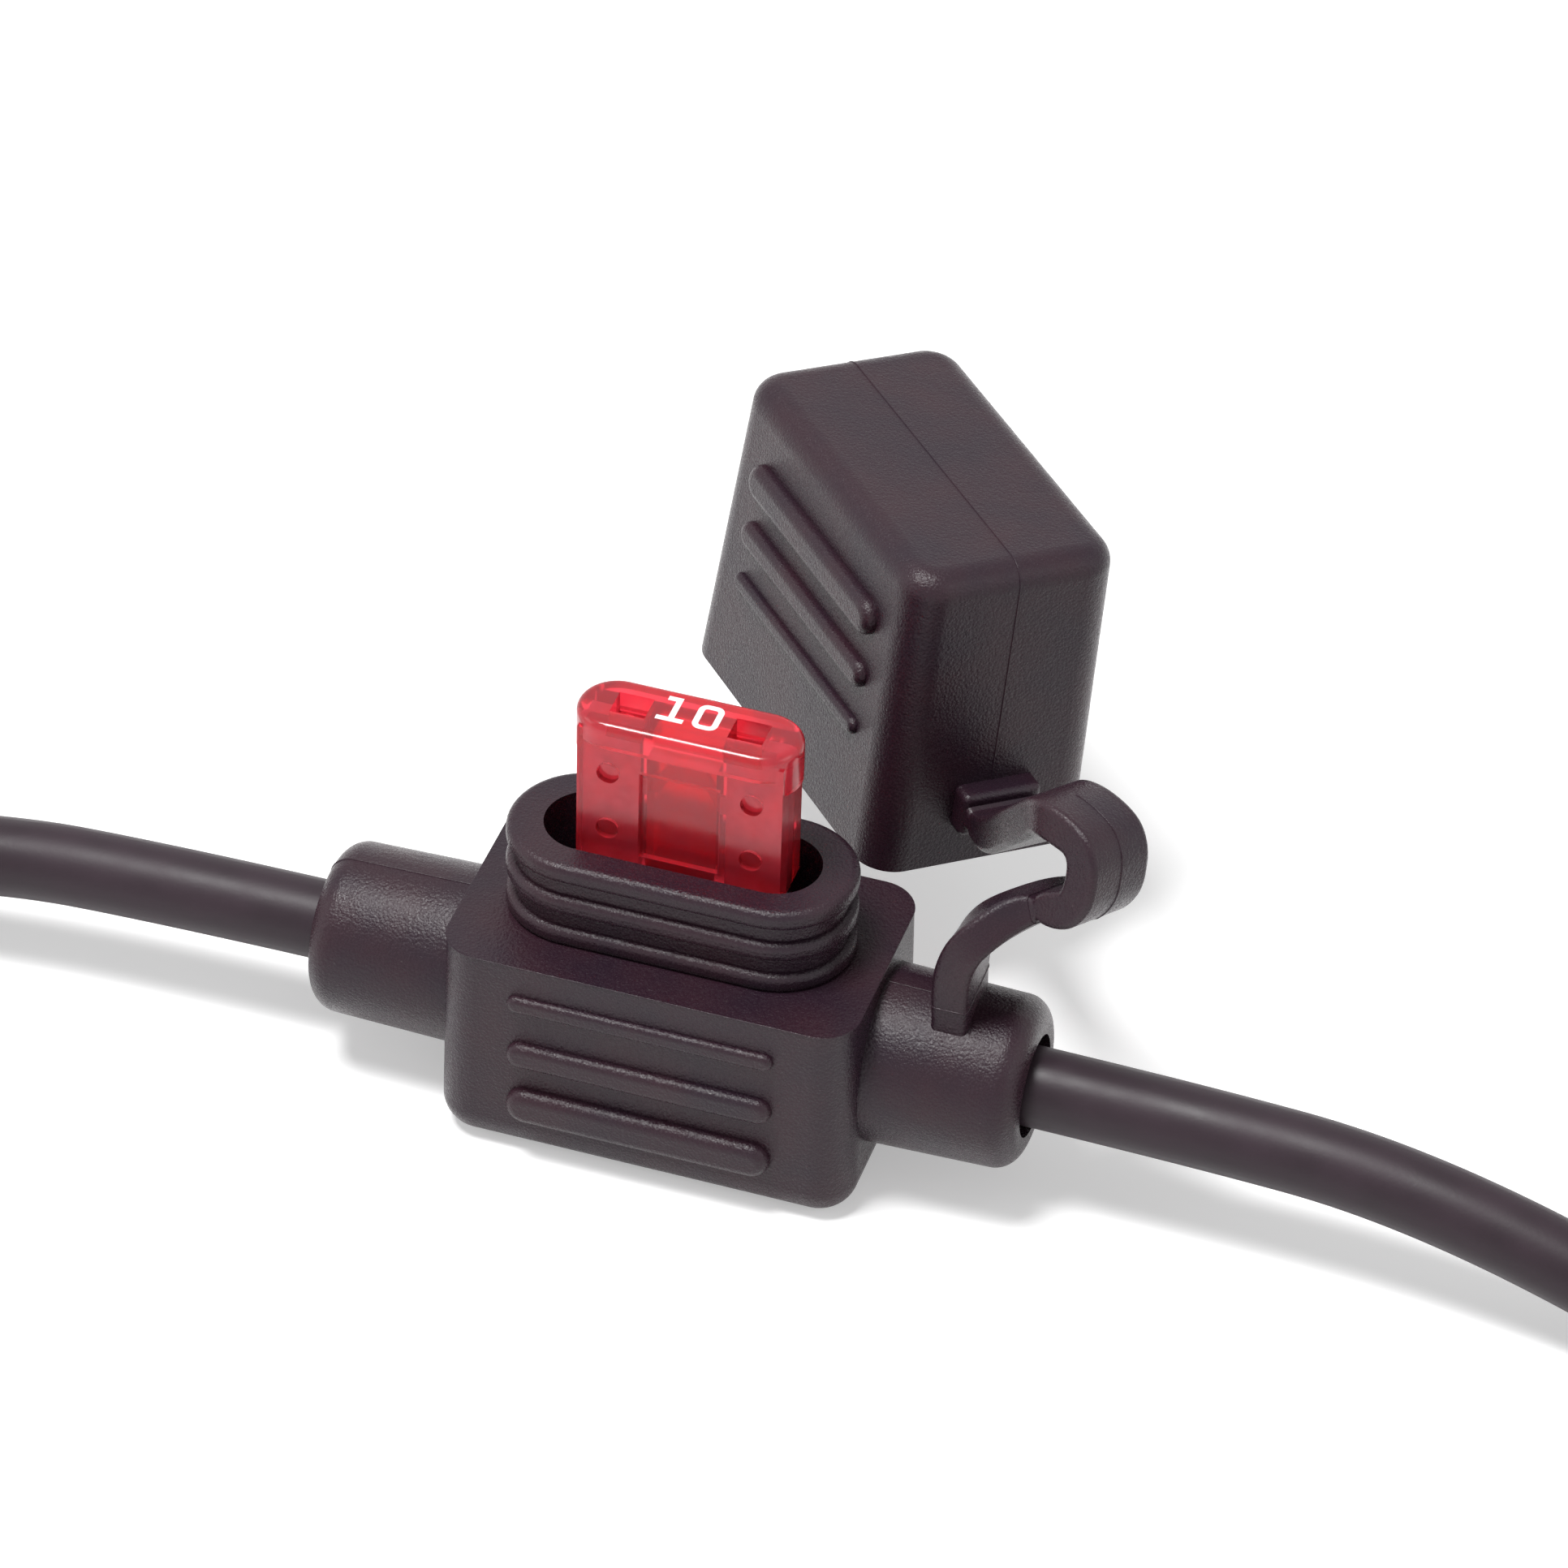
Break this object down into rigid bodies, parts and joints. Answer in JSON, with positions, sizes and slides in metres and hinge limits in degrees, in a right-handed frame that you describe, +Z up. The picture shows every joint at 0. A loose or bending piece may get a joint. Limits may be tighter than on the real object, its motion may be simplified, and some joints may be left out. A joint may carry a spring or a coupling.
{
  "type": "inline blade fuse holder",
  "caption": "Water-resistant inline holder for a mini blade fuse, cap open on its moulded strap, with the red fuse seated and round black leads out of both ends.",
  "frame": {"origin": "on the flat base of the body, under the middle of the body", "axes": "+X along the leads, towards the collar that carries the strap; +Z up, out of the mouth that takes the fuse"},
  "size_m": [0.143, 0.048, 0.0252],
  "materials": {
    "moulding": "soft matt moulding with a fine leather grain",
    "jacket": "soft gloss",
    "copper": "bare stranded copper",
    "terminal": "tin-plated",
    "fuse_red": "see-through red",
    "fuse_zinc": "dull zinc"
  },
  "bodies": {
    "base": {"housing": "moulding", "left_lead_jacket": "jacket", "left_lead_core": "copper", "left_terminal": "terminal", "right_lead_jacket": "jacket", "right_lead_core": "copper", "right_terminal": "terminal"},
    "fuse": {"fuse_housing": "fuse_red", "fuse_element": "fuse_zinc"},
    "strap": {"strap_bend": "moulding"},
    "cap": {"cap": "moulding"}
  },
  "joints": [
    {"name": "fuse_pull", "type": "slide", "parent": "base", "child": "fuse", "axis": [0, 0, 1], "range_m": [0, 0.014]},
    {"name": "strap_lower_hinge", "type": "hinge", "parent": "base", "child": "strap", "pos_m": [0.01794, 0.00151, 0.01666], "axis": [0.4398, 0.8674, -0.2328], "range_deg": [-10, 34], "stiffness_Nm_per_rad": 0.006, "springref_deg": 4.38},
    {"name": "strap_upper_hinge", "type": "hinge", "parent": "strap", "child": "cap", "pos_m": [0.01204, 0.01253, 0.01154], "axis": [0.7163, 0.6878, -0.1181], "range_deg": [-5, 32], "stiffness_Nm_per_rad": 0.006, "springref_deg": 2.41}
  ]
}
